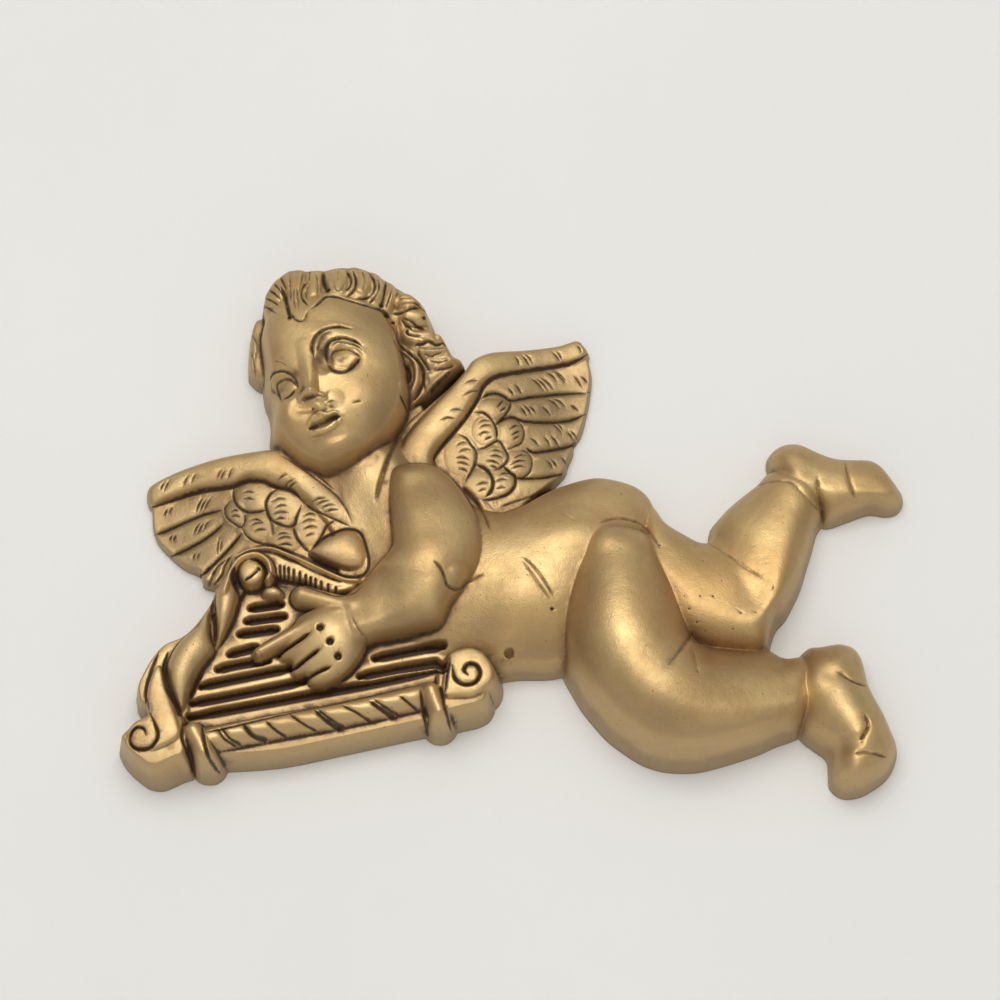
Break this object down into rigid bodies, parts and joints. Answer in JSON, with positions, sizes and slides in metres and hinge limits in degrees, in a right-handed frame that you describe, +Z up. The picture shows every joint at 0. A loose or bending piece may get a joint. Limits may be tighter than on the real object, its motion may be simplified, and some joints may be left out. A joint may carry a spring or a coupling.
{
  "type": "cherub wall plaque",
  "caption": "Cast high-relief wall plaque of a flying winged cherub with bent knees, plucking a small harp; flat back that lies against the wall.",
  "frame": {"origin": "on the flat back, in the wall plane, behind the plaque's centre of mass", "axes": "+Z up as hung, +Y into the wall so the relief faces -Y, +X to the right as seen from the room"},
  "size_m": [0.3093, 0.0447, 0.219],
  "materials": {
    "antique_gold": "satin metallic antique gold paint over a cast body, with a dark brown wash left in the carving and matt, greyer side walls"
  },
  "bodies": {
    "root": {"cherub_plaque": "antique_gold"}
  },
  "joints": []
}
